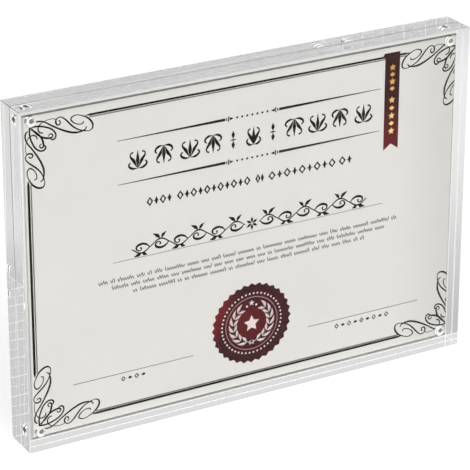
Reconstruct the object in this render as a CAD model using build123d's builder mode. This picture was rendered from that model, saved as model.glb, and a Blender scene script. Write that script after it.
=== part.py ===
from build123d import *
import os

# Free-standing certificate frame, in millimetres. Two clear acrylic panels lie face to face with
# a printed sheet between them, and pairs of disc magnets glued into blind bores hold them shut.
# Origin: middle of the footprint, on the table. +X runs to the viewer's right along the width,
# -Y points out of the front and +Z points up.

# Clear panels, both alike
panel_width = 297.0
panel_height = 210.0
panel_thickness = 11.8  # cast sheet sold as 12 mm
edge_chamfer = 0.25  # broken edge all round each panel, left by the polishing

# Printed sheet
sheet_margin = 5.0  # clear border left round the sheet
sheet_thickness = 0.25
sheet_clearance = 0.05  # air between the sheet and each panel

# Disc magnets and the bores that hold them
magnet_diameter = 6.0
magnet_thickness = 2.0
magnet_chamfer = 0.2
magnet_side_inset = 10.0  # bore axis to the nearest side of the panel
magnet_end_inset = 9.0  # bore axis to the panel's top or bottom
magnet_recess = 0.05  # magnet face below the panel's inner face
bore_clearance = 0.25  # glue ring round the magnet
glue_depth = 0.1  # glue under the magnet

# Values worked out from those above
gap = sheet_thickness + 2 * sheet_clearance
inner_face = gap / 2
bore_radius = magnet_diameter / 2 + bore_clearance
bore_depth = glue_depth + magnet_thickness + magnet_recess
magnet_x = panel_width / 2 - magnet_side_inset
magnet_low = magnet_end_inset
magnet_high = panel_height - magnet_end_inset
corner_places = {
    "top_left": (-magnet_x, magnet_high),
    "top_right": (magnet_x, magnet_high),
    "bottom_left": (-magnet_x, magnet_low),
    "bottom_right": (magnet_x, magnet_low),
}

os.makedirs("parts", exist_ok=True)

# Back panel: a clear block behind the sheet, bored from its inner face
back_plane = Plane.XZ.offset(-inner_face)
with BuildPart() as back_panel:
    with BuildSketch(back_plane):
        with Locations((0, panel_height / 2)):
            Rectangle(panel_width, panel_height)
    extrude(amount=-panel_thickness)
    chamfer(back_panel.edges(), edge_chamfer)
    with BuildSketch(back_plane):
        with Locations(*corner_places.values()):
            Circle(bore_radius)
    extrude(amount=-bore_depth, mode=Mode.SUBTRACT)
back_panel.part.label = "back_panel"
export_step(back_panel.part, "parts/back_panel.step")

# Front panel: the same block turned round, so that its bores face the back panel's
front_plane = Plane.XZ.offset(inner_face)
with BuildPart() as front_panel:
    with BuildSketch(front_plane):
        with Locations((0, panel_height / 2)):
            Rectangle(panel_width, panel_height)
    extrude(amount=panel_thickness)
    chamfer(front_panel.edges(), edge_chamfer)
    with BuildSketch(front_plane):
        with Locations(*corner_places.values()):
            Circle(bore_radius)
    extrude(amount=bore_depth, mode=Mode.SUBTRACT)
front_panel.part.label = "front_panel"
export_step(front_panel.part, "parts/front_panel.step")

# Certificate: a stiff printed sheet, a little smaller than the panels all round
with BuildPart() as certificate:
    with BuildSketch(Plane.XZ.offset(-sheet_thickness / 2)):
        with Locations((0, panel_height / 2)):
            Rectangle(panel_width - 2 * sheet_margin, panel_height - 2 * sheet_margin)
    extrude(amount=sheet_thickness)
certificate.part.label = "certificate"
export_step(certificate.part, "parts/certificate.step")

# Magnets: one disc in each bore, its open face just under the panel's inner face. The sign is
# that of Y turned round: a front magnet lies on the -Y side of the sheet.
for panel_name, outward in (("front", 1), ("back", -1)):
    magnet_plane = Plane.XZ.offset(outward * (inner_face + magnet_recess))
    for corner, place in corner_places.items():
        with BuildPart() as magnet:
            with BuildSketch(magnet_plane):
                with Locations(place):
                    Circle(magnet_diameter / 2)
            extrude(amount=outward * magnet_thickness)
            chamfer(magnet.edges().filter_by(GeomType.CIRCLE), magnet_chamfer)
        magnet_name = f"{panel_name}_magnet_{corner}"
        magnet.part.label = magnet_name
        export_step(magnet.part, f"parts/{magnet_name}.step")
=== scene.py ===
import bmesh
import bpy
import random
from math import cos, pi, radians, sin
from mathutils import Matrix, Vector


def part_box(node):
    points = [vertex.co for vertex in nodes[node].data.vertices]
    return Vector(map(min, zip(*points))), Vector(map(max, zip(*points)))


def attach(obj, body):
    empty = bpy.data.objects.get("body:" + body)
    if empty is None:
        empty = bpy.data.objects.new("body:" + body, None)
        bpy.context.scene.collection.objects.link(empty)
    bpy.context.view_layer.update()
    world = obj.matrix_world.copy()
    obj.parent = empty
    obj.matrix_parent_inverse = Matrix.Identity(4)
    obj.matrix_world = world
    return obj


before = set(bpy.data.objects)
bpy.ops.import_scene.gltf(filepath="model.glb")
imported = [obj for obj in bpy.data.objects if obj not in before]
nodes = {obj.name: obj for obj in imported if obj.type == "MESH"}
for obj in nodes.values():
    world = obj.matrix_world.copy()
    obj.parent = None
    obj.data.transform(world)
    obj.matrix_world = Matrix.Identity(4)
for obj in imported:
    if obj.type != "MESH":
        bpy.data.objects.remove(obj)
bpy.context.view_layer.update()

mm = 0.001
white = (1, 1, 1, 1)


def linearColor(hexValue):
    # sRGB hex to the linear values that shaders take
    channels = [int(hexValue[i:i + 2], 16) / 255 for i in (1, 3, 5)]
    linear = [c / 12.92 if c <= 0.04045 else ((c + 0.055) / 1.055) ** 2.4 for c in channels]
    return (*linear, 1)


def addNode(tree, kind, inputs=None, **settings):
    # one node with its settings. Each input is a number, a colour, a hex colour, a socket or another
    # node, which stands for its first output in use.
    node = tree.nodes.new("ShaderNode" + kind)
    for key, value in settings.items():
        setattr(node, key, value)
    for key, value in (inputs or {}).items():
        if isinstance(value, bpy.types.Node):
            value = next(output for output in value.outputs if output.enabled)
        if isinstance(value, bpy.types.NodeSocket):
            tree.links.new(value, node.inputs[key])
        else:
            node.inputs[key].default_value = linearColor(value) if isinstance(value, str) else value
    return node


def newMaterial(name):
    # an empty material, its tree, and where the shaded point lies
    material = bpy.data.materials.new(name)
    material.use_nodes = True
    tree = material.node_tree
    tree.nodes.clear()
    return material, tree, addNode(tree, "TexCoord").outputs["Object"]


def assignMaterial(item, material):
    item.data.materials.clear()
    item.data.materials.append(material)


def addItem(name, data):
    item = bpy.data.objects.new(name, data)
    bpy.context.scene.collection.objects.link(item)
    return item


# Camera, at the photograph's viewing angle
cameraSizes = {
    "azimuth": -29.618, "elevation": 23.395, "roll": 0.088,
    "distance": 1.5376, "aimRight": -0.00508, "aimUp": 0.09333,
    "lens": 193.91, "sensor": 36, "clipStart": 0.05,
}


def makeCamera(sizes):
    az, el, roll = (radians(sizes[key]) for key in ("azimuth", "elevation", "roll"))
    back = Vector((sin(az) * cos(el), -cos(az) * cos(el), sin(el)))
    right = Vector((cos(az), sin(az), 0))
    up = back.cross(right)
    right, up = right * cos(roll) + up * sin(roll), up * cos(roll) - right * sin(roll)
    place = back * sizes["distance"] + right * sizes["aimRight"] + up * sizes["aimUp"]
    data = bpy.data.cameras.new("camera")
    data.lens = sizes["lens"]
    data.sensor_width = sizes["sensor"]
    data.clip_start = sizes["clipStart"]
    camera = addItem("camera", data)
    camera.matrix_world = Matrix.Translation(place) @ Matrix((right, up, back)).transposed().to_4x4()
    bpy.context.scene.camera = camera


makeCamera(cameraSizes)
print("camera done")

# World and floor. Rays that have left a matt surface find the studio's lights. Those that come
# straight from the camera, or by glass and metal, find the pale background.
studio = {
    "level": 0.35,  # light from above and from all sides
    "keyGain": 3.1,  # how much more comes from the big soft lamp in front
    "keyFrom": (0.0, -0.77, 0.64), "keySpread": 6.0,
    "fillGain": 0.8, "fillSpread": 4.0,  # and from the low fill light behind
    "seenLow": 0.74, "seenHigh": 1.4,  # background that glass shows near the horizon and overhead
    "domeFrom": 0.5, "domeTo": 0.9,  # how high the one passes into the other
    "floorColour": (0.5, 0.5, 0.5, 1), "floorDrop": 0.1 * mm, "floorSize": 6.0,
    "floorGlow": 0.62,  # lifts the floor to white for the camera
    # painted light and shade: the lift for what glass and metal show, at so many metres behind the block; it
    # is low close behind the block as a painted shadow
    "glassSteps": ((0.0, 0.265), (0.1, 0.37), (0.2, 0.43), (0.42, 0.44), (0.6, 0.18)),
    # painted light: more of it to the right of the block, fading out between these depths
    "sideFrom": 0.14, "sideTo": 0.2, "sideLift": 0.22, "sideNear": 0.03, "sideFar": 0.2,
}


def addPathSwitches(tree):
    # both are 1 only on rays that haven't met a matt surface yet
    path = addNode(tree, "LightPath").outputs
    fresh = addNode(tree, "Math", {0: path["Diffuse Depth"], 1: 0.5}, operation="LESS_THAN")
    polished = addNode(tree, "Math", {0: path["Is Glossy Ray"], 1: path["Is Transmission Ray"]},
                       operation="MAXIMUM")
    byGlass = addNode(tree, "Math", {0: polished, 1: fresh}, operation="MULTIPLY")
    seen = addNode(tree, "Math", {0: byGlass, 1: path["Is Camera Ray"]}, operation="MAXIMUM")
    return seen, byGlass


def makeWorld(sizes):
    world = bpy.data.worlds.new("studio")
    world.use_nodes = True
    tree = world.node_tree
    tree.nodes.clear()
    seen, byGlass = addPathSwitches(tree)
    way = addNode(tree, "TexCoord").outputs["Generated"]
    apart = addNode(tree, "SeparateXYZ", {0: way}).outputs
    toward = addNode(tree, "VectorMath", {0: way, 1: sizes["keyFrom"]}, operation="DOT_PRODUCT")
    facing = addNode(tree, "Math", {0: toward, 1: 0.0}, operation="MAXIMUM")
    lobe = addNode(tree, "Math", {0: facing, 1: sizes["keySpread"]}, operation="POWER")
    behind = addNode(tree, "Math", {0: apart["Y"], 1: 0.0}, operation="MAXIMUM")
    low = addNode(tree, "Math", {0: behind, 1: sizes["fillSpread"]}, operation="POWER")
    fill = addNode(tree, "Math", {0: low, 1: sizes["fillGain"], 2: sizes["level"]}, operation="MULTIPLY_ADD")
    lamp = addNode(tree, "Math", {0: lobe, 1: sizes["keyGain"], 2: fill}, operation="MULTIPLY_ADD")
    dome = addNode(tree, "MapRange", {
        "Value": apart["Z"], "From Min": sizes["domeFrom"], "From Max": sizes["domeTo"],
        "To Min": sizes["seenLow"], "To Max": sizes["seenHigh"]}, interpolation_type="SMOOTHSTEP")
    backdrop = addNode(tree, "Mix", {0: byGlass, 2: 1.0, 3: dome})
    light = addNode(tree, "Background", {"Color": white, "Strength": lamp})
    shown = addNode(tree, "Background", {"Color": white, "Strength": backdrop})
    addNode(tree, "OutputWorld", {0: addNode(tree, "MixShader", {0: seen, 1: light, 2: shown})})
    bpy.context.scene.world = world


makeWorld(studio)


def makeFloor(sizes):
    # Studio paper: matt and pale, with a lift that shows it white to the camera and, as painted light and
    # shade, greyish in glass
    bpy.ops.mesh.primitive_plane_add(size=sizes["floorSize"], location=(0, 0, -sizes["floorDrop"]))
    floor = bpy.context.object
    floor.name = "floor"
    material, tree, place = newMaterial("pale studio paper")
    seen, byGlass = addPathSwitches(tree)
    matt = addNode(tree, "BsdfDiffuse", {"Color": sizes["floorColour"]})
    apart = addNode(tree, "SeparateXYZ", {0: place}).outputs
    # painted light and shade: what glass and metal see of the floor steps with the depth behind the block
    # and grows to its right
    steps = addNode(tree, "ValToRGB", {0: apart["Y"]})
    stops = steps.color_ramp.elements
    for number, (away, share) in enumerate(sizes["glassSteps"]):
        stop = stops[number] if number < 2 else stops.new(away)
        stop.position = away
        stop.color = (share, share, share, 1)
    beside = addNode(tree, "MapRange", {
        "Value": apart["X"], "From Min": sizes["sideFrom"], "From Max": sizes["sideTo"],
        "To Max": sizes["sideLift"]}, interpolation_type="SMOOTHSTEP")
    close = addNode(tree, "MapRange", {
        "Value": apart["Y"], "From Min": sizes["sideFar"], "From Max": sizes["sideNear"]},
        interpolation_type="SMOOTHSTEP")
    total = addNode(tree, "Math", {0: beside, 1: close, 2: steps}, operation="MULTIPLY_ADD")
    lift = addNode(tree, "Mix", {0: byGlass, 2: sizes["floorGlow"], 3: total})
    glow = addNode(tree, "Emission", {"Color": white, "Strength": lift})
    both = addNode(tree, "AddShader", {0: matt, 1: glow})
    addNode(tree, "OutputMaterial", {0: addNode(tree, "MixShader", {0: seen, 1: matt, 2: both})})
    material.cycles.emission_sampling = "NONE"
    assignMaterial(floor, material)


makeFloor(studio)
print("studio done")

# Clear panels
acrylicSizes = {
    "ior": 1.49, "faceShine": (0.02, 0.02, 0.02, 1), "cloud": 40 * mm,
    "tints": ((0.988, 0.989, 0.988, 1), (0.996, 0.996, 0.996, 1)),
    "soak": 4.0, "soakColour": (0.92, 0.925, 0.92, 1),
    # painted light: bevelGlow makes the lower bevels glow by emission, for the light that the panel gathers
    "bevel": 0.26 * mm, "bevelRoughness": 0.5, "bevelGlow": 0.32,
    "jointLoss": 0.5,  # how much less the joint's own bevels glow, except up the left side
    # painted shade: a grey matt band on the joint's bevels that stands for the dark gap between the panels
    "jointShadeColour": "#80807e", "jointShadeShare": 0.8,
    "jointShadeLow": 85 * mm, "jointShadeHigh": 110 * mm,  # the painted joint shade fades out down the left side between these
}


def makeAcrylic(sizes, low, high):
    # Cast acrylic, cut and polished: glass clear with the faintest cloudiness, faces that mirror next to
    # nothing, painted shade as a grey matt band on the joint's bevels for the dark gap between the panels,
    # and frosted bevels that, below the top ones, glow by emission as painted light for what the panel
    # gathers
    material, tree, place = newMaterial("polished clear cast acrylic")
    apart = addNode(tree, "SeparateXYZ", {0: place}).outputs
    bevel, middle = sizes["bevel"], (low[2] + high[2]) / 2

    def compare(axis, way, limit, centre=0.0):
        # 1 where the distance from a centre along an axis is over or under the limit
        offset = addNode(tree, "Math", {0: apart[axis], 1: centre}, operation="SUBTRACT")
        away = addNode(tree, "Math", {0: offset}, operation="ABSOLUTE")
        return addNode(tree, "Math", {0: away, 1: limit}, operation=way)

    sides = compare("X", "GREATER_THAN", high[0] - bevel)
    ends = compare("Z", "GREATER_THAN", high[2] - middle - bevel, middle)
    joint = compare("Y", "LESS_THAN", -high[1] + bevel)
    faces = compare("Y", "GREATER_THAN", -low[1] - bevel)
    edges = addNode(tree, "Math", {0: sides, 1: ends}, operation="ADD")
    flats = addNode(tree, "Math", {0: joint, 1: faces}, operation="ADD")
    count = addNode(tree, "Math", {0: edges, 1: flats}, operation="ADD")
    # a bevel is where two of the four meet
    onBevel = addNode(tree, "Math", {0: count, 1: 1.5}, operation="GREATER_THAN")
    onTop = addNode(tree, "Math", {0: apart["Z"], 1: high[2] - bevel}, operation="GREATER_THAN")
    onLeft = addNode(tree, "Math", {0: apart["X"], 1: low[0] + bevel}, operation="LESS_THAN")

    clouds = addNode(tree, "TexNoise", {"Vector": place, "Scale": 1 / sizes["cloud"], "Detail": 2.0})
    tint = addNode(tree, "Mix", {0: clouds, 6: sizes["tints"][0], 7: sizes["tints"][1]}, data_type="RGBA")
    frost = addNode(tree, "Math", {0: onBevel, 1: sizes["bevelRoughness"]}, operation="MULTIPLY")
    # painted light: emission on every bevel below the top ones, weaker on the joint's own bevels except up
    # the left side
    weak = addNode(tree, "Math", {0: joint, 1: onLeft}, operation="GREATER_THAN")
    kept = addNode(tree, "Math", {0: weak, 1: -sizes["jointLoss"], 2: 1.0}, operation="MULTIPLY_ADD")
    lower = addNode(tree, "Math", {0: onBevel, 1: onTop}, operation="GREATER_THAN")
    lit = addNode(tree, "Math", {0: lower, 1: kept}, operation="MULTIPLY")
    glow = addNode(tree, "Math", {0: lit, 1: sizes["bevelGlow"]}, operation="MULTIPLY")
    clear = addNode(tree, "BsdfPrincipled", {
        "Base Color": tint, "Roughness": frost, "IOR": sizes["ior"], "Transmission Weight": 1.0,
        "Specular Tint": sizes["faceShine"], "Emission Color": white, "Emission Strength": glow})

    # painted shade: grey matt on the joint's top bevels and, fading downwards, its upper left ones, for the
    # dark gap between the panels
    fade = addNode(tree, "MapRange", {
        "Value": apart["Z"], "From Min": sizes["jointShadeLow"], "From Max": sizes["jointShadeHigh"]},
        interpolation_type="SMOOTHSTEP")
    upLeft = addNode(tree, "Math", {0: onLeft, 1: fade}, operation="MULTIPLY")
    topOrLeft = addNode(tree, "Math", {0: onTop, 1: upLeft}, operation="MAXIMUM")
    marks = addNode(tree, "Math", {0: joint, 1: topOrLeft}, operation="MULTIPLY")
    share = addNode(tree, "Math", {0: marks, 1: sizes["jointShadeShare"]}, operation="MULTIPLY")
    jointShade = addNode(tree, "BsdfDiffuse", {"Color": sizes["jointShadeColour"]})
    surface = addNode(tree, "MixShader", {0: share, 1: clear, 2: jointShade})
    soak = addNode(tree, "VolumeAbsorption", {"Color": sizes["soakColour"], "Density": sizes["soak"]})
    addNode(tree, "OutputMaterial", {"Surface": surface, "Volume": soak})
    return material


# Certificate card
cardSizes = {
    "fibre": 0.9 * mm, "fibreLong": 2.25 * mm, "fibreDepth": 0.01 * mm, "fibreShare": 0.35,
    "cloud": 35 * mm,
    "shadeFrom": 95 * mm, "shadeTo": 148 * mm, "tone": 0.87,  # painted shade: the card darkens towards its right edge
}


def makeCard(sizes):
    # Uncoated certificate card: warm white and matt, with painted shade that darkens it a little towards
    # its right edge, soft cloudiness and short fibres
    material, tree, place = newMaterial("uncoated certificate card")
    clouds = addNode(tree, "TexNoise", {"Vector": place, "Scale": 1 / sizes["cloud"], "Detail": 3.0})
    along, across = 1 / sizes["fibreLong"], 1 / sizes["fibre"]
    drawn = addNode(tree, "Mapping", {"Vector": place, "Scale": (along, across, across)})
    fibres = addNode(tree, "TexNoise", {"Vector": drawn, "Scale": 1.0, "Detail": 4.0, "Roughness": 0.7})
    both = addNode(tree, "Math", {0: fibres, 1: sizes["fibreShare"], 2: clouds}, operation="MULTIPLY_ADD")
    colour = addNode(tree, "Mix", {0: both, 6: "#e3e1dc", 7: "#e8e6e1"}, data_type="RGBA")
    apart = addNode(tree, "SeparateXYZ", {0: place}).outputs
    # painted shade: the colour darkens towards the card's right edge
    rightShade = addNode(tree, "MapRange", {
        "Value": apart["X"], "From Min": sizes["shadeFrom"], "From Max": sizes["shadeTo"],
        "To Min": 1.0, "To Max": sizes["tone"]}, interpolation_type="SMOOTHSTEP")
    shadedColour = addNode(tree, "VectorMath", {0: colour, "Scale": rightShade}, operation="SCALE")
    bump = addNode(tree, "Bump", {"Strength": 0.4, "Distance": sizes["fibreDepth"], "Height": fibres})
    shader = addNode(tree, "BsdfPrincipled", {
        "Base Color": shadedColour, "Roughness": 0.75, "IOR": 1.45, "Normal": bump})
    addNode(tree, "OutputMaterial", {"Surface": shader})
    return material


# Magnets
nickelSizes = {"brush": 0.25 * mm, "brushDepth": 0.002 * mm, "smoothest": 0.16, "roughest": 0.32}


def makeNickel(sizes):
    # Barrel-plated nickel over sintered magnet: bright, a little uneven and warm
    material, tree, place = newMaterial("barrel-plated bright nickel")
    spots = addNode(tree, "TexNoise", {"Vector": place, "Scale": 1 / sizes["brush"], "Detail": 3.0})
    colour = addNode(tree, "Mix", {0: spots, 6: "#84827e", 7: "#aaa8a3"}, data_type="RGBA")
    rough = addNode(tree, "MapRange", {
        "Value": spots, "To Min": sizes["smoothest"], "To Max": sizes["roughest"]})
    bump = addNode(tree, "Bump", {"Strength": 0.5, "Distance": sizes["brushDepth"], "Height": spots})
    shader = addNode(tree, "BsdfPrincipled", {
        "Base Color": colour, "Metallic": 1.0, "Roughness": rough, "Normal": bump})
    addNode(tree, "OutputMaterial", {"Surface": shader})
    return material


panelLow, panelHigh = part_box("front_panel")
acrylic = makeAcrylic(acrylicSizes, panelLow, panelHigh)
card = makeCard(cardSizes)
nickel = makeNickel(nickelSizes)
for name, item in nodes.items():
    assignMaterial(item, acrylic if name.endswith("panel") else card if name == "certificate" else nickel)
print("panels, card and magnets done")

# Glue cups: set glue fills the ring and the film between each magnet and its bore
glueSizes = {
    "outer": 3.28, "inner": 3.03,  # wets the bore wall, so it reaches just into it, but not the bottom
    "rimY": 0.32, "filmTopY": 2.235, "bottomY": 2.315,  # measured from the joint's middle
    "cornerOut": 0.1, "cornerDeep": 0.08, "meniscus": 0.12, "facets": 40, "weld": 1e-4,
    "flatFrom": 0.9,  # faces that look this much along the axis are shaded flat
    # soft circles on the film, each given by x and z from the axis and the radii where it starts and ends
    "bare": (0.35, 0.2, 1.2, 2.3),  # no film inside this one, so the nickel shows
    "thin": (2.4, 1.0, 1.6, 2.7),  # painted reflection: greyer film inside this one, a grey half-moon for the nickel's reflection
    "spent": (0.0, 0.0, 2.7, 3.0),  # beyond this one the film has drawn back and the card's tone shows
    "rim": (0.4, -0.3, 3.0, 3.4),  # and beyond this one lies its dark outline, painted shade for the bore wall's shadow line
    "slitFrom": 0.3, "slitTo": 2.1, "slitHalf": 1.2, "slitLift": 0.9,  # painted dark reflection: near-black slits in the ring's outer stretches, for the magnet's shaded side
    "faceFrom": 2.25,  # deeper than this is the film under the magnet
    "wallFrom": 0.75, "wallTo": 0.9,  # the ring is grey at its mouth and white from here on
    # painted light: the white part of the ring, and a little the film, glow by emission
    "wallGlow": 1.0, "faceGlow": 0.1, "cloud": 1.111 * mm,
}


def makeGlue(g, middleZ, reach):
    # Set glue: white and cloudy, whitened further by painted light (emission), with a painted grey half-moon
    # for the nickel's reflection, a painted dark outline for the bore wall's shadow line, one bare patch
    # that shows the nickel and painted dark slits in the ring
    material, tree, place = newMaterial("cloudy set glue")
    apart = addNode(tree, "SeparateXYZ", {0: place}).outputs
    # each place measured from the nearest bore's axis, and whether it lies outside that axis
    local, outward = {}, {}
    for axis, middle in (("X", 0.0), ("Z", middleZ)):
        offset = addNode(tree, "Math", {0: apart[axis], 1: middle}, operation="SUBTRACT")
        side = addNode(tree, "Math", {0: offset}, operation="SIGN")
        local[axis] = addNode(tree, "Math", {0: side, 1: -reach[axis], 2: offset}, operation="MULTIPLY_ADD")
        far = addNode(tree, "Math", {0: offset}, operation="ABSOLUTE")
        outward[axis] = addNode(tree, "Math", {0: far, 1: reach[axis]}, operation="GREATER_THAN")
    flat = addNode(tree, "CombineXYZ", {0: local["X"], 2: local["Z"]})

    def outside(circle):
        # 0 inside a soft circle, 1 outside it
        x, z, start, end = (value * mm for value in circle)
        away = addNode(tree, "VectorMath", {0: flat, 1: (x, 0, z)}, operation="DISTANCE")
        return addNode(tree, "MapRange", {"Value": away, "From Min": start, "From Max": end},
                       interpolation_type="SMOOTHSTEP")

    deep = addNode(tree, "Math", {0: apart["Y"]}, operation="ABSOLUTE")
    onFilm = addNode(tree, "Math", {0: deep, 1: g["faceFrom"] * mm}, operation="GREATER_THAN")
    # painted dark reflection: where the near-black slits lie in the ring's outer stretches
    slitMiddle, slitReach = (g["slitFrom"] + g["slitTo"]) / 2 * mm, (g["slitTo"] - g["slitFrom"]) / 2 * mm
    near = addNode(tree, "Math", {0: deep, 1: slitMiddle, 2: slitReach}, operation="COMPARE")
    spots = []
    for along, across, lift in (("X", "Z", 0.0), ("Z", "X", g["slitLift"])):
        central = addNode(tree, "Math", {0: local[along], 1: lift * mm, 2: g["slitHalf"] * mm},
                          operation="COMPARE")
        spots.append(addNode(tree, "Math", {0: central, 1: outward[across]}, operation="MULTIPLY"))
    either = addNode(tree, "Math", {0: spots[0], 1: spots[1]}, operation="MAXIMUM")
    darkSlit = addNode(tree, "Math", {0: near, 1: either}, operation="MULTIPLY")

    clouds = addNode(tree, "TexNoise", {"Vector": place, "Scale": 1 / g["cloud"], "Detail": 2.0})
    full = addNode(tree, "Mix", {0: clouds, 6: "#e6e6e4", 7: "#f6f6f4"}, data_type="RGBA")
    # painted reflection: the greyer half-moon on the magnet's face
    thin = addNode(tree, "Mix", {0: outside(g["thin"]), 6: "#bcbab5", 7: full}, data_type="RGBA")
    spent = addNode(tree, "Mix", {0: outside(g["spent"]), 6: thin, 7: "#d6d6d3"}, data_type="RGBA")
    # painted shade: the dark outline round the film, for the bore wall's shadow line
    film = addNode(tree, "Mix", {0: outside(g["rim"]), 6: spent, 7: "#7c7c7a"}, data_type="RGBA")
    wall = addNode(tree, "MapRange", {
        "Value": deep, "From Min": g["wallFrom"] * mm, "From Max": g["wallTo"] * mm})
    ring = addNode(tree, "Mix", {0: wall, 6: "#7c7c7a", 7: full}, data_type="RGBA")
    filled = addNode(tree, "Mix", {0: onFilm, 6: ring, 7: film}, data_type="RGBA")
    # painted dark reflection: the slits are near black and get no glow
    colour = addNode(tree, "Mix", {0: darkSlit, 6: filled, 7: "#191817"}, data_type="RGBA")
    # painted light: emission that whitens the ring's wall, and a little the film
    bright = addNode(tree, "Math", {0: wall, 1: g["wallGlow"]}, operation="MULTIPLY")
    lit = addNode(tree, "Mix", {0: onFilm, 2: bright, 3: g["faceGlow"]})
    glow = addNode(tree, "Mix", {0: darkSlit, 2: lit, 3: 0.0})
    shader = addNode(tree, "BsdfPrincipled", {
        "Base Color": colour, "Roughness": 0.4, "Specular IOR Level": 0.2, "Alpha": outside(g["bare"]),
        "Emission Color": white, "Emission Strength": glow})
    addNode(tree, "OutputMaterial", {"Surface": shader})
    return material


def makeCups(g, material):
    profile = [(0, g["bottomY"]), (g["outer"] - g["cornerOut"], g["bottomY"]),
               (g["outer"], g["bottomY"] - g["cornerDeep"]), (g["outer"], g["rimY"]),
               (g["inner"], g["rimY"]), (g["inner"], g["filmTopY"] - g["meniscus"]),
               (g["inner"] - g["cornerOut"], g["filmTopY"]), (0, g["filmTopY"])]
    for panel, side in (("front", -1), ("back", 1)):
        for corner in ("top_left", "top_right", "bottom_left", "bottom_right"):
            low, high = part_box(panel + "_magnet_" + corner)
            form = bmesh.new()
            points = [form.verts.new((radius, side * depth, 0)) for radius, depth in profile]
            edges = [form.edges.new(pair) for pair in zip(points, points[1:])]
            bmesh.ops.spin(form, geom=points + edges, cent=(0, 0, 0), axis=(0, 1, 0), angle=2 * pi,
                           steps=g["facets"], use_merge=True)
            bmesh.ops.remove_doubles(form, verts=form.verts[:], dist=g["weld"])
            bmesh.ops.recalc_face_normals(form, faces=form.faces[:])
            name = "bore_glue_" + panel + "_" + corner
            mesh = bpy.data.meshes.new(name)
            form.to_mesh(mesh)
            form.free()
            mesh.transform(Matrix.Diagonal((mm, mm, mm, 1)))
            mesh.transform(Matrix.Translation(((low[0] + high[0]) / 2, 0, (low[2] + high[2]) / 2)))
            for face in mesh.polygons:
                face.use_smooth = abs(face.normal.y) < g["flatFrom"]
            item = addItem(name, mesh)
            assignMaterial(item, material)
            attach(item, panel)


magnetLow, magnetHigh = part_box("front_magnet_top_right")
panelMiddle = (panelLow + panelHigh) / 2
magnetMiddle = (magnetLow + magnetHigh) / 2
boreReach = {"X": magnetMiddle[0], "Z": magnetMiddle[2] - panelMiddle[2]}
makeCups(glueSizes, makeGlue(glueSizes, panelMiddle[2], boreReach))
print("glue done")

# Inks. Each is a thin dried film, so its tone breaks up a little where the card's tooth shows.
inkSizes = {"tooth": 0.35 * mm}


def makeInk(name, dark, light):
    # Litho or foil ink: matt, its tone a little broken
    material, tree, place = newMaterial(name)
    tooth = addNode(tree, "TexNoise", {"Vector": place, "Scale": 1 / inkSizes["tooth"], "Detail": 2.0})
    colour = addNode(tree, "Mix", {0: tooth, 6: dark, 7: light}, data_type="RGBA")
    shader = addNode(tree, "BsdfPrincipled", {
        "Base Color": colour, "Roughness": 0.5, "Specular IOR Level": 0.1})
    addNode(tree, "OutputMaterial", {"Surface": shader})
    return material


blackInk = makeInk("black litho ink", "#141310", "#26241f")
softBlackInk = makeInk("thin black litho ink", "#1d1c19", "#2c2b28")
greyInk = makeInk("grey litho ink", "#7b7a75", "#8d8c87")
textInk = makeInk("small grey text ink", "#4c4b48", "#62615d")
# grey lines for the card's edges, made with the same matt material as the inks
topEdgeGrey = makeInk("olive grey top edge line", "#8a8b84", "#989992")
bottomEdgeGrey = makeInk("light olive grey bottom edge line", "#8c8d86", "#9a9b94")
sideEdgeGrey = makeInk("pale grey side edge line", "#d0d0cb", "#d8d8d3")

cardLow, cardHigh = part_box("certificate")
printCentre = 2.6  # the print's own middle line, from the panels' middle, in millimetres
inkFilm = {
    "flatness": 0.008,  # a pen line's thickness for its width
    "plate": 0.006 * mm,  # thickness of a filled patch
    "lift": 0.012 * mm,  # from the card to the middle of the first layer
    "step": 0.0075 * mm,  # from one layer to the next
}


def finishPrint(item, material, layer=0, cropRight=False):
    # moves a print piece, drawn in millimetres round y = 0, to its layer in front of the card
    if cropRight:  # cuts off what runs past the card's right edge
        form = bmesh.new()
        form.from_mesh(item.data)
        bmesh.ops.bisect_plane(form, geom=form.verts[:] + form.edges[:] + form.faces[:],
                               plane_co=(cardHigh[0] / mm, 0, 0), plane_no=(1, 0, 0), clear_outer=True)
        bmesh.ops.holes_fill(form, edges=[e for e in form.edges if e.is_boundary])
        form.to_mesh(item.data)
        form.free()
    item.data.transform(Matrix.Diagonal((mm, mm, mm, 1)))
    item.data.transform(Matrix.Translation((0, cardLow[1] - inkFilm["lift"] - layer * inkFilm["step"], 0)))
    assignMaterial(item, material)
    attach(item, "sheet")


def drawStrokes(name, strokes, material, layer=0, cropRight=False, smooth=6, closed=False):
    # pen lines, each a list of (x, z, width) in millimetres, made one flat mesh
    data = bpy.data.curves.new(name, "CURVE")
    data.dimensions = "3D"
    data.bevel_depth = 1  # so a point's radius is half its width
    data.bevel_resolution = 0
    data.resolution_u = smooth
    data.use_fill_caps = True
    for stroke in strokes:
        spline = data.splines.new("BEZIER")
        spline.bezier_points.add(len(stroke) - 1)
        spline.use_cyclic_u = closed
        for point, (x, z, width) in zip(spline.bezier_points, stroke):
            point.co = (x, 0, z)
            point.radius = width / 2
            point.handle_left_type = point.handle_right_type = "AUTO" if smooth > 1 else "VECTOR"
    pen = addItem(name + "_pen", data)
    bpy.context.view_layer.update()
    mesh = bpy.data.meshes.new_from_object(pen)
    mesh.name = name
    bpy.data.objects.remove(pen)
    mesh.transform(Matrix.Diagonal((1, inkFilm["flatness"], 1, 1)))
    finishPrint(addItem(name, mesh), material, layer, cropRight)


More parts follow.
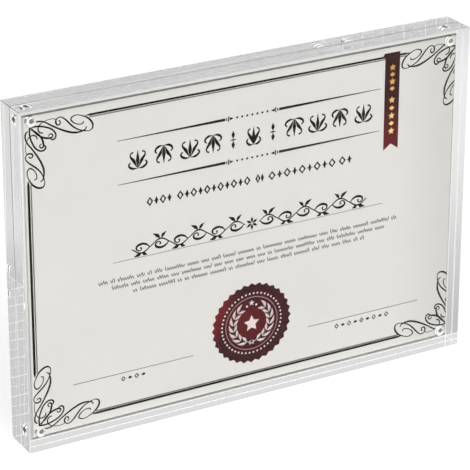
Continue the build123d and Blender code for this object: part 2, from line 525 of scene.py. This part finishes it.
def plateFromForm(name, form, material, layer=0):
    # flat faces in the xz plane get the thickness of a patch of ink
    grown = bmesh.ops.extrude_face_region(form, geom=form.faces[:])
    top = [v for v in grown["geom"] if isinstance(v, bmesh.types.BMVert)]
    bmesh.ops.translate(form, verts=top, vec=(0, inkFilm["plate"] / mm, 0))
    bmesh.ops.recalc_face_normals(form, faces=form.faces[:])
    mesh = bpy.data.meshes.new(name)
    form.to_mesh(mesh)
    form.free()
    finishPrint(addItem(name, mesh), material, layer)


def plateFromCorners(name, corners, material, layer=0):
    form = bmesh.new()
    form.faces.new([form.verts.new((x, 0, z)) for x, z in corners])
    plateFromForm(name, form, material, layer)


def addDisc(form, x, z, radiusX, radiusZ=None, segments=20, pinch=1.0):
    # a flat disc or oval. With a pinch, every other corner is drawn in, for a star or a toothed rim.
    squash = Matrix.Diagonal((1, 1, (radiusZ or radiusX) / radiusX, 1))
    place = Matrix.Translation((x, 0, z)) @ squash @ Matrix.Rotation(pi / 2, 4, "X")
    rim = bmesh.ops.create_circle(form, cap_ends=True, segments=segments, radius=radiusX, matrix=place)
    if pinch < 1:
        for vert in rim["verts"][1::2]:
            vert.co.x = x + (vert.co.x - x) * pinch
            vert.co.z = z + (vert.co.z - z) * pinch


# Border lines, with a grey second line inside each black one, and grey lines along the card's edges
borderSizes = {
    "fromX": -103.6, "toX": 109.3, "lowZ": 45.0, "highZ": 165.0, "taper": 2.0,
    # each black line's place and width, how far its tips run on and how wide they are
    "top": (198.2, 1.25, (1.2, 1.0), 0.3),
    "bottom": (11.8, 1.4, (0.6, 0.6), 0.6),
    "left": (-140.7, 1.55, (0.6, 0.6), 0.6),
    # each grey line's place and width, and how much sooner it stops
    "topGrey": (196.9, 0.8), "bottomGrey": (13.1, 0.9), "leftGrey": (-139.1, 0.8), "greyInset": 1.5,
    "trimWidth": 1.1, "sideTrimWidth": 0.8,
}


def makeBorder(b):
    black, grey = [], []
    for side, start, end in (("top", b["fromX"], b["toX"]), ("bottom", b["fromX"], b["toX"]),
                             ("left", b["lowZ"], b["highZ"])):
        away, width, (before, after), tip = b[side]
        greyAway, greyWidth = b[side + "Grey"]
        line = [(start - before, tip), (start + b["taper"], width), (end - b["taper"], width),
                (end + after, tip)]
        second = [(start + b["greyInset"], greyWidth), (end - b["greyInset"], greyWidth)]
        for strokes, points, place in ((black, line, away), (grey, second, greyAway)):
            strokes.append([(place, along, wide) if side == "left" else (along, place, wide)
                            for along, wide in points])
    drawStrokes("print_border_black", black, blackInk, smooth=1)
    drawStrokes("print_border_grey", grey, greyInk, smooth=1)

    # grey lines along the card's edges: darkest along the top, lighter along the bottom, palest down the
    # sides
    low, high = cardLow / mm, cardHigh / mm
    wide, narrow = b["trimWidth"], b["sideTrimWidth"]
    for side, ink, width, ends in (
            ("top", topEdgeGrey, wide, [(x, high.z - wide / 2) for x in (low.x, high.x)]),
            ("bottom", bottomEdgeGrey, wide, [(x, low.z + wide / 2) for x in (low.x, high.x)]),
            ("left", sideEdgeGrey, narrow, [(low.x + narrow / 2, z) for z in (low.z + wide, high.z - wide)]),
            ("right", sideEdgeGrey, narrow,
             [(high.x - narrow / 2, z) for z in (low.z + wide, high.z - wide)])):
        drawStrokes("card_edge_line_" + side, [[(x, z, width) for x, z in ends]], ink, smooth=1)


makeBorder(borderSizes)
print("border done")

# Corner scrolls. One arm is drawn along s, with t measured from the border line into the sheet,
# then turned over the diagonal for the other arm and over both middle lines for the other corners.
cornerSizes = {"edgeS": -141.7, "edgeLow": 9.8, "edgeHigh": 199.9, "weight": 1.64, "uprightShare": 0.95}
cornerArm = [
    [(4.8, 1.6, 0.45), (6.4, 0.3, 0.6), (9.2, 0.1, 0.55), (12, 1.1, 0.5), (16.6, 4.1, 0.55),
     (21.6, 7.1, 0.65), (26.6, 9.5, 0.75), (30.1, 10.6, 0.75), (33, 10.8, 0.65), (35.5, 10.4, 0.5),
     (37, 9.7, 0.45), (37.8, 8.4, 0.4)],
    [(20.6, 1.7, 0.35), (21.5, 2.4, 0.4), (21.5, 3.7, 0.5), (20.3, 4.3, 0.5), (19.1, 3.2, 0.6),
     (19, 1.5, 0.55), (20, 0.2, 0.4), (21.9, -0.1, 0.4), (24.1, 1.2, 0.5), (26.2, 3.4, 0.6),
     (28.7, 6.2, 0.6), (31.6, 8.6, 0.5), (34.4, 10, 0.4), (37.3, 10.7, 0.3)],
    [(11, 7.3, 0.4), (9.2, 6.8, 0.5), (8, 4.9, 0.5), (8.7, 2.6, 0.4), (10.4, 1.2, 0.3), (13.1, 0.3, 0.24),
     (16.2, 0, 0.24), (18.4, 0.4, 0.26), (19.3, 1.5, 0.3)],
    [(35.8, 4.8, 0.35), (35.6, 5.9, 0.45), (34.1, 6.3, 0.4), (30.8, 5.3, 0.35), (28.7, 3.4, 0.5),
     (28.2, 2.1, 0.55), (29.4, 0.9, 0.45), (31.9, 0.5, 0.35), (35.1, 1.5, 0.4), (38, 3, 0.55),
     (40.3, 5.2, 0.7), (41.6, 7.8, 0.7), (41.4, 9.8, 0.6), (40.1, 10.9, 0.4), (37.8, 11, 0.3),
     (35.8, 10.7, 0.25)],
    [(2.9, 3, 0.7), (5.8, 2.7, 0.6), (9.4, 3.1, 0.6), (13, 4.3, 0.6), (16.2, 6, 0.6), (18, 8, 0.6),
     (18.7, 9.9, 0.6), (18.3, 11.5, 0.6), (17.1, 12.3, 0.6), (15.8, 11.8, 0.5), (14.9, 10.6, 0.3)],
    [(14.3, 10.1, 0.3), (14.6, 9.1, 0.4), (15.7, 8.7, 0.45), (16.7, 9.5, 0.5), (16.6, 10.5, 0.55),
     (15.5, 11, 0.6), (13, 10.7, 0.75), (10.5, 9.8, 0.7), (8, 8.1, 0.55), (5.8, 5.9, 0.5), (4.1, 3.6, 0.5)],
]


def makeCorners(c, arm):
    both = arm + [[(t, c["uprightShare"] * s, width) for s, t, width in stroke] for stroke in arm]
    strokes = []
    for lowEdge in (True, False):
        for leftSide in (True, False):
            for stroke in both:
                strokes.append([(c["edgeS"] + s if leftSide else 2 * printCentre - c["edgeS"] - s,
                                 c["edgeLow"] + t if lowEdge else c["edgeHigh"] - t, c["weight"] * width)
                                for s, t, width in stroke])
    drawStrokes("print_corner_scrolls", strokes, blackInk, cropRight=True)


makeCorners(cornerSizes, cornerArm)
print("corner scrolls done")


def lozenge(x, z, width, height, stroke):
    return [(x - width / 2, z, stroke), (x, z + height / 2, stroke), (x + width / 2, z, stroke),
            (x, z - height / 2, stroke)]


def drop(x, z, halfX, halfZ, wide, tip):
    # a mark that swells in its middle and runs out to both tips
    return [(x - halfX, z - halfZ, tip), (x, z, wide), (x + halfX, z + halfZ, tip)]


# Title row: a band of palmettes and drops between two pointed rules
titleSizes = {
    "low": 160.0, "high": 171.2,
    "wide": [(-78, -66.5), (-61, -50), (-44.5, -32.5), (-28.7, -18), (-1, 8), (25, 37), (41, 53),
             (57, 67.5), (73, 84.5)],
    "narrow": [-10.1, 16.5],
    "dropAway": 3.1, "dropHalf": 2.4, "dropWide": 2.3, "barHalf": 1.9, "barWide": 1.1, "tip": 0.3,
    "ruleZ": (179.0, 152.3), "ruleFrom": -85.3, "ruleTo": -15.3, "ruleThin": 0.3, "ruleThick": 1.7,
    "postX": (-14.4, -13.1), "postTall": (1.8, 3.3), "postWidth": 0.75,
    "arrowFrom": -12.4, "arrowTo": -10.0, "arrowTall": 2.0, "arrowTip": 0.2,
    "dotPitch": 3.37, "dotCount": 7, "dotWidth": 1.4,
}
# A palmette's middle leaf, and the petals that both sides have: away from the middle line in
# millimetres and in shares of the half width, up in shares of the half height, and the pen's width
palmetteStem = [(0, 0, -1, 0.3), (0, 0, -0.1, 2.4), (0, 0, 1, 0.25)]
palmettePetals = [
    [(0.5, 0, -0.86, 0.3), (0, 0.45, -0.1, 2.0), (0, 0.82, 0.62, 0.8), (0, 0.5, 0.86, 1.1)],
    [(0.4, 0, -0.95, 0.4), (0, 0.62, -0.9, 1.5), (0, 1, -0.5, 1.2), (0, 0.8, -0.2, 0.7)],
]


def makeTitle(t):
    middle = (t["low"] + t["high"]) / 2
    strokes = []
    for number, (left, right) in enumerate(t["wide"]):
        x, half, tall = (left + right) / 2, (right - left) / 2, (t["high"] - t["low"]) / 2
        up = tall if number % 2 == 0 else -tall
        for side, leaves in ((1, [palmetteStem]), (-1, palmettePetals), (1, palmettePetals)):
            for leaf in leaves:
                strokes.append([(x + side * (away + share * half), middle + rise * up, width)
                                for away, share, rise, width in leaf])
    for x in t["narrow"]:
        for z in (middle + t["dropAway"], middle - t["dropAway"]):
            strokes.append(drop(x, z, 0, t["dropHalf"], t["dropWide"], t["tip"]))
        strokes.append(drop(x, middle, t["barHalf"], 0, t["barWide"], t["tip"]))
    drawStrokes("print_title_palmettes", strokes, blackInk, smooth=5)

    rules = []
    for z in t["ruleZ"]:
        pieces = [[(t["ruleFrom"], z, t["ruleThin"]), (t["ruleTo"], z, t["ruleThick"])]]
        for x, tall in zip(t["postX"], t["postTall"]):
            pieces.append([(x, z - tall / 2, t["postWidth"]), (x, z + tall / 2, t["postWidth"])])
        pieces.append([(t["arrowFrom"], z, t["arrowTall"]), (t["arrowTo"], z, t["arrowTip"])])
        for way in (-1, 1):  # the same on both sides of the print's middle line
            rules += [[(printCentre + way * (printCentre - x), high, width) for x, high, width in piece]
                      for piece in pieces]
    drawStrokes("print_title_rules", rules, softBlackInk, smooth=1)
    form = bmesh.new()
    for z in t["ruleZ"]:
        for number in range(t["dotCount"]):
            addDisc(form, printCentre + (number - t["dotCount"] // 2) * t["dotPitch"], z, t["dotWidth"] / 2)
    plateFromForm("print_title_dots", form, softBlackInk)


makeTitle(titleSizes)

# Subtitle row: small open lozenges and drops in groups
subtitleSizes = {
    "low": 135.9, "high": 140.5, "stroke": 1.25, "ringShare": 0.74,
    "dropWide": 2.1, "dropTip": 0.5, "barShare": 0.34, "barWidth": 0.6,
    "groups": [(-67, -50, 4), (-47.3, 1.5, 11), (5, 11, 2), (13.5, 60, 9), (62, 72, 2)],
}


def makeSubtitle(t):
    middle, tall = (t["low"] + t["high"]) / 2, t["high"] - t["low"]
    rings, drops = [], []
    for left, right, count in t["groups"]:
        pitch = (right - left) / count
        for number in range(count):
            x = left + (number + 0.5) * pitch
            if number % 2 == 0:
                rings.append(lozenge(x, middle, t["ringShare"] * pitch, tall, t["stroke"]))
            else:
                drops.append(drop(x, middle, 0, tall / 2, t["dropWide"], t["dropTip"]))
                drops.append([(x + way * t["barShare"] * pitch, middle, t["barWidth"]) for way in (-1, 1)])
    drawStrokes("print_subtitle_lozenges", rings, softBlackInk, smooth=1, closed=True)
    drawStrokes("print_subtitle_drops", drops, softBlackInk, smooth=3)


makeSubtitle(subtitleSizes)
print("title and subtitle rows done")

# Row of vine scroll over a thin rule, the same on both sides of a flower: a waving stem with a curl
# in each bend and a pair of leaves outside it
scrollSizes = {
    "ruleZ": 104.8, "ruleFrom": -89.0, "ruleTo": 94.0, "ruleWidth": 0.36,
    "start": 4.6, "bend": 12.5, "bends": 6, "middleZ": 110.6, "swing": 3.3,
    "stem": 0.95, "stemTip": 0.4, "thinShare": 0.7, "lowShare": 0.4,
    "petals": 6, "petal": 3.7, "petalPoints": ((0.15, 0.4), (0.6, 1.7), (1.1, 0.3)),
}
vineCurl = [(-5.4, 0.5, 0.5), (-2.9, -1.7, 1.2), (0.9, -2.2, 1.6), (3.3, -0.5, 1.2), (2.2, 1.4, 0.8),
            (0.2, 1.1, 0.7), (0.4, -0.4, 1.3)]
vineLeaves = [[(0.3, 0, 0.4), (2.0, 2.1, 2.3), (5.0, 3.9, 0.3)],
              [(-0.5, 0, 0.4), (-1.7, 2.1, 2.0), (-3.8, 3.8, 0.3)]]


def makeScrollRow(r):
    strokes = []
    for side in (1, -1):
        def at(x, z, width):
            return printCentre + side * x, r["middleZ"] + z, width

        stem = [at(r["start"], 0, r["stemTip"])]
        for number in range(r["bends"]):
            up = 1 if number % 2 == 0 else -1
            x = r["start"] + (number + 0.5) * r["bend"]
            stem.append(at(x, up * r["swing"], r["stem"]))
            stem.append(at(x + r["bend"] / 2, 0, r["thinShare"] * r["stem"]))
            strokes.append([at(x + u, up * v, width) for u, v, width in vineCurl])
            reach = 1.0 if up > 0 else r["lowShare"]  # short below, where the rule is
            for leaf in vineLeaves:
                strokes.append([at(x + u, up * (r["swing"] + v * reach), width) for u, v, width in leaf])
        strokes.append(stem)
    for number in range(r["petals"]):
        turn = (number + 0.5) * 2 * pi / r["petals"]
        x, z = r["petal"] * cos(turn), r["petal"] * sin(turn)
        strokes.append([(printCentre + share * x, r["middleZ"] + share * z, width)
                        for share, width in r["petalPoints"]])
    drawStrokes("print_scroll_row", strokes, blackInk, smooth=5)
    rule = [(r[end], r["ruleZ"], r["ruleWidth"]) for end in ("ruleFrom", "ruleTo")]
    drawStrokes("print_scroll_rule", [rule], greyInk, smooth=1)


makeScrollRow(scrollSizes)
print("scroll row done")

# Body lines: runs of small waves that read as greyed text
bodySizes = {
    "lines": [(-98.6, 104.0, 93.4), (-90.0, 95.5, 89.0), (-76.5, 82.5, 84.6)],
    "runs": (3.1, 4.7, 6.2, 7.8, 10.2, 12.5), "shortest": 3.0, "gap": 1.5,
    "half": 0.95, "pitch": 0.78, "stroke": 0.53, "tall": 0.9, "tallShare": 0.2,
}


def makeBody(b):
    dice = random.Random(7)
    strokes = []
    for left, right, z in b["lines"]:
        x = left
        while x < right - b["shortest"]:
            end = min(x + dice.choice(b["runs"]), right)
            stroke, up = [], 1
            while x <= end:
                reach = b["half"] + (b["tall"] if up > 0 and dice.random() < b["tallShare"] else 0.0)
                stroke.append((x, z + up * reach, b["stroke"]))
                x += b["pitch"]
                up = -up
            if len(stroke) > 1:
                strokes.append(stroke)
            x += b["gap"]
    drawStrokes("print_body_waves", strokes, textInk, smooth=2)


makeBody(bodySizes)

# Writing rules at the foot, each over a short row of marks
footSizes = {
    "rules": [(-116.5, -37.0, 33.5), (42.0, 121.5, 33.9)], "ruleWidth": 0.45,
    "low": 28.2, "high": 31.0, "stroke": 0.84, "ringWide": 2.3,
    "dropHalf": 1.3, "dropWide": 1.9, "dropTip": 0.4,
    "marks": [-84.0, -79.5, -75.2, -70.7, 62.6, 67.1, 71.6, 76.1, 80.6, 85.1, 89.6, 94.1, 98.6],
}


def makeFoot(f):
    rules = [[(left, z, f["ruleWidth"]), (right, z, f["ruleWidth"])] for left, right, z in f["rules"]]
    drawStrokes("print_writing_rules", rules, greyInk, smooth=1)
    middle, tall = (f["low"] + f["high"]) / 2, f["high"] - f["low"]
    rings = [lozenge(x, middle, f["ringWide"], tall, f["stroke"]) for x in f["marks"][::2]]
    drops = [drop(x, middle, f["dropHalf"], 0, f["dropWide"], f["dropTip"]) for x in f["marks"][1::2]]
    drawStrokes("print_foot_lozenges", rings, softBlackInk, smooth=1, closed=True)
    drawStrokes("print_foot_drops", drops, softBlackInk, smooth=3)


makeFoot(footSizes)
print("body lines and foot rows done")

# Seal: a toothed foil rosette with a dotted ring, a laurel and a star
sealSizes = {
    "x": 2.6, "z": 45.6, "wide": 27.2, "tall": 26.2, "teeth": 32, "toothDepth": 1.6,
    "bandRadius": 17.5, "centreRadius": 10.3,
    "dots": 48, "dotRingX": 20.3, "dotRingZ": 19.5, "dotSize": 0.62,
    "ringRadius": 17.7, "ringWidth": 0.5, "ringStep": 15,
    "leafFrom": 126.0, "leafPitch": 19.5, "leafPairs": 7,
    "stemRadius": 12.6, "leafOut": 15.7, "leafIn": 10.3,
    # each leaf from root to tip: along in shares of the pitch, out in shares of the reach, and wide
    "leafPoints": ((0.55, 0.1, 0.5), (0.1, 0.6, 2.2), (-0.6, 1, 0.2)),
    "berryRadius": 0.75, "berryAlong": 0.05,
    "bandFacets": 64, "centreFacets": 48, "berryFacets": 12, "dotFacets": 10,
    "grain": 0.667 * mm, "grainShare": 0.3,
    "lightX": -0.92, "lightZ": 0.39,  # where the foil's lighter side lies
}
# The laurel's tie: two short pen lines for each side
laurelTie = [[(0.4, -11.2, 0.5), (1.6, -12.4, 0.5), (0.8, -14, 0.4)],
             [(-1.4, -13.8, 0.4), (3.2, -11.6, 0.5)]]
# Marks in the seal's middle, two dots and two stars: x, z, radius, corners and every other one's pinch
sealMarks = [(-3.2, 11.6, 0.75, 12, 1.0), (3.2, 11.6, 0.75, 12, 1.0),
             (0, 13.3, 2.0, 10, 0.42), (0, -0.2, 5.4, 10, 0.5)]


def makeFoil(name, bright, dark, fromShare, toShare):
    # Foil stock: dull red that lifts where it faces up and to the left, with a fine pressed grain
    material, tree, place = newMaterial(name)
    s = sealSizes
    lean = addNode(tree, "VectorMath", {0: place, 1: (s["lightX"], 0, s["lightZ"])},
                   operation="DOT_PRODUCT")
    start, wide = (s["lightX"] * s["x"] + s["lightZ"] * s["z"]) * mm, s["wide"] * mm
    share = addNode(tree, "MapRange", {
        "Value": lean, "From Min": start + fromShare * wide, "From Max": start + toShare * wide},
        interpolation_type="SMOOTHSTEP")
    grain = addNode(tree, "TexNoise", {"Vector": place, "Scale": 1 / s["grain"], "Detail": 3.0})
    tone = addNode(tree, "Math", {0: grain, 1: s["grainShare"], 2: -s["grainShare"] / 2},
                   operation="MULTIPLY_ADD")
    total = addNode(tree, "Math", {0: share, 1: tone}, operation="ADD", use_clamp=True)
    colour = addNode(tree, "Mix", {0: total, 6: dark, 7: bright}, data_type="RGBA")
    shader = addNode(tree, "BsdfPrincipled", {
        "Base Color": colour, "Roughness": 0.5, "Specular IOR Level": 0.1})
    addNode(tree, "OutputMaterial", {"Surface": shader})
    return material


def onSeal(s, radius, angle):
    turn = radians(angle)
    return s["x"] + radius * cos(turn), s["z"] + radius * s["tall"] / s["wide"] * sin(turn)


def makeSeal(s):
    squash = s["tall"] / s["wide"]
    for name, foil, radius, segments, layer, pinch in (
            ("seal_rosette", makeFoil("dull red seal foil", "#7b2428", "#421e22", 0.55, 1.0),
             s["wide"], 2 * s["teeth"], 0, 1 - s["toothDepth"] / s["wide"]),
            ("seal_band", makeFoil("dark red seal foil", "#602226", "#472024", 0.2, 0.75),
             s["bandRadius"], s["bandFacets"], 1, 1.0),
            ("seal_centre", makeFoil("mid red seal foil", "#651f23", "#5b1c20", -0.4, 0.4),
             s["centreRadius"], s["centreFacets"], 2, 1.0)):
        form = bmesh.new()
        addDisc(form, s["x"], s["z"], radius, radius * squash, segments, pinch)
        plateFromForm(name, form, foil, layer)

    ring = [(*onSeal(s, s["ringRadius"], turn), s["ringWidth"]) for turn in range(0, 360, s["ringStep"])]
    pink = makeInk("faded pink foil ink", "#b88584", "#cfa2a0")
    drawStrokes("seal_ring", [ring], pink, layer=2, closed=True)

    pearl = makeInk("pearl pink foil ink", "#ead6d4", "#f6e9e7")
    strokes, berries = [], bmesh.new()
    for side in (1, -1):
        def mirrored(x):
            return s["x"] + side * (x - s["x"])

        for number in range(s["leafPairs"]):
            for reach in (s["leafOut"], s["leafIn"]):
                leaf = []
                for along, out, width in s["leafPoints"]:
                    x, z = onSeal(s, s["stemRadius"] + (reach - s["stemRadius"]) * out,
                                  s["leafFrom"] + (number + along) * s["leafPitch"])
                    leaf.append((mirrored(x), z, width))
                strokes.append(leaf)
            x, z = onSeal(s, s["stemRadius"],
                          s["leafFrom"] + (number + s["berryAlong"]) * s["leafPitch"])
            addDisc(berries, mirrored(x), z, s["berryRadius"], segments=s["berryFacets"])
        strokes += [[(s["x"] + side * x, s["z"] + z, width) for x, z, width in line] for line in laurelTie]
    drawStrokes("seal_laurel", strokes, pearl, layer=3, smooth=5)

    form = bmesh.new()
    for number in range(s["dots"]):
        turn = 2 * pi * (number + 0.5) / s["dots"]
        x, z = s["x"] + s["dotRingX"] * cos(turn), s["z"] + s["dotRingZ"] * sin(turn)
        addDisc(form, x, z, s["dotSize"], segments=s["dotFacets"])
    for x, z, radius, segments, pinch in sealMarks:
        addDisc(form, s["x"] + x, s["z"] + z, radius, segments=segments, pinch=pinch)
    plateFromForm("seal_stars", form, pearl, layer=3)
    plateFromForm("seal_berries", berries, makeInk("smoky berry ink", "#4c3a3c", "#6a5658"), layer=4)


makeSeal(sealSizes)
print("seal done")

# Ribbon with a swallowtail and a column of gold stars and lozenges
ribbonSizes = {
    "left": 93.3, "right": 103.65, "top": 200.5, "tip": 138.9, "notch": 142.6,
    "weave": 1.111 * mm, "weaveShare": 0.2,
    "foldLeft": 91.3, "foldTop": 200.6, "foldLow": 198.0, "foldOver": 0.2, "foldLean": 0.4,
    "goldX": 98.65, "goldRadius": 2.35, "goldPinch": 0.48, "lozengeShares": (0.8, 0.62),
    "gold": [191.1, 186.7, 182.2, 177.8, 170.5, 165.4, 160.4, 155.6, 150.7],
    "goldFrom": 193, "goldTo": 149, "flecks": 0.625 * mm, "fleckShare": 0.25,
}


def makeRibbonCloth(r):
    # Printed satin ribbon: dark wine at the top and redder towards its tail, with a fine weave
    material, tree, place = newMaterial("wine red printed ribbon")
    apart = addNode(tree, "SeparateXYZ", {0: place}).outputs
    down = addNode(tree, "MapRange", {
        "Value": apart["Z"], "From Min": r["top"] * mm, "From Max": r["tip"] * mm})
    fine = 1 / r["weave"]
    drawn = addNode(tree, "Mapping", {"Vector": place, "Scale": (fine, fine, 2 * fine)})
    weave = addNode(tree, "TexNoise", {"Vector": drawn, "Scale": 1.0, "Detail": 2.0})
    tone = addNode(tree, "Math", {0: weave, 1: r["weaveShare"], 2: -r["weaveShare"] / 2},
                   operation="MULTIPLY_ADD")
    total = addNode(tree, "Math", {0: down, 1: tone}, operation="ADD", use_clamp=True)
    ramp = addNode(tree, "ValToRGB", {0: total})
    stops = ramp.color_ramp.elements
    stops[0].color = linearColor("#3a1b1c")
    stops[1].color = linearColor("#6e2224")
    stops.new(0.45).color = linearColor("#3d191a")
    shader = addNode(tree, "BsdfPrincipled", {
        "Base Color": ramp, "Roughness": 0.5, "Specular IOR Level": 0.1})
    addNode(tree, "OutputMaterial", {"Surface": shader})
    return material


def makeGold(r):
    # Gold foil ink: deep at the top, pale at the tail, with small flecks
    material, tree, place = newMaterial("gold foil ink")
    apart = addNode(tree, "SeparateXYZ", {0: place}).outputs
    down = addNode(tree, "MapRange", {
        "Value": apart["Z"], "From Min": r["goldFrom"] * mm, "From Max": r["goldTo"] * mm})
    flecks = addNode(tree, "TexNoise", {"Vector": place, "Scale": 1 / r["flecks"], "Detail": 2.0})
    tone = addNode(tree, "Math", {0: flecks, 1: r["fleckShare"], 2: down}, operation="MULTIPLY_ADD",
                   use_clamp=True)
    colour = addNode(tree, "Mix", {0: tone, 6: "#d0902e", 7: "#f6da90"}, data_type="RGBA")
    shader = addNode(tree, "BsdfPrincipled", {
        "Base Color": colour, "Roughness": 0.4, "Specular IOR Level": 0.2})
    addNode(tree, "OutputMaterial", {"Surface": shader})
    return material


def makeRibbon(r):
    middle, over = (r["left"] + r["right"]) / 2, r["left"] + r["foldOver"]
    band = [(r["left"], r["top"]), (r["right"], r["top"]), (r["right"], r["tip"]), (middle, r["notch"]),
            (r["left"], r["tip"])]
    fold = [(r["foldLeft"], r["foldLow"]), (over, r["foldLow"]), (over, r["foldTop"]),
            (r["left"] - r["foldLean"], r["foldTop"])]
    plateFromCorners("ribbon_band", band, makeRibbonCloth(r), layer=1)
    plateFromCorners("ribbon_fold", fold, makeInk("shaded wine ink", "#241619", "#2e1d20"), layer=1)
    form = bmesh.new()
    wide, tall = (share * r["goldRadius"] for share in r["lozengeShares"])
    for number, z in enumerate(r["gold"]):
        if number % 2 == 0:
            addDisc(form, r["goldX"], z, r["goldRadius"], segments=10, pinch=r["goldPinch"])
        else:
            addDisc(form, r["goldX"], z, wide, tall, segments=4)
    plateFromForm("ribbon_gold_marks", form, makeGold(r), layer=2)


makeRibbon(ribbonSizes)
print("ribbon done")

cycles = bpy.context.scene.cycles
cycles.max_bounces = 64
cycles.transmission_bounces = 64
cycles.glossy_bounces = 32
cycles.diffuse_bounces = 6
cycles.blur_glossy = 0  # keeps the panels sharp light guides for light that the floor sends up

bpy.context.scene.view_settings.view_transform = "Standard"
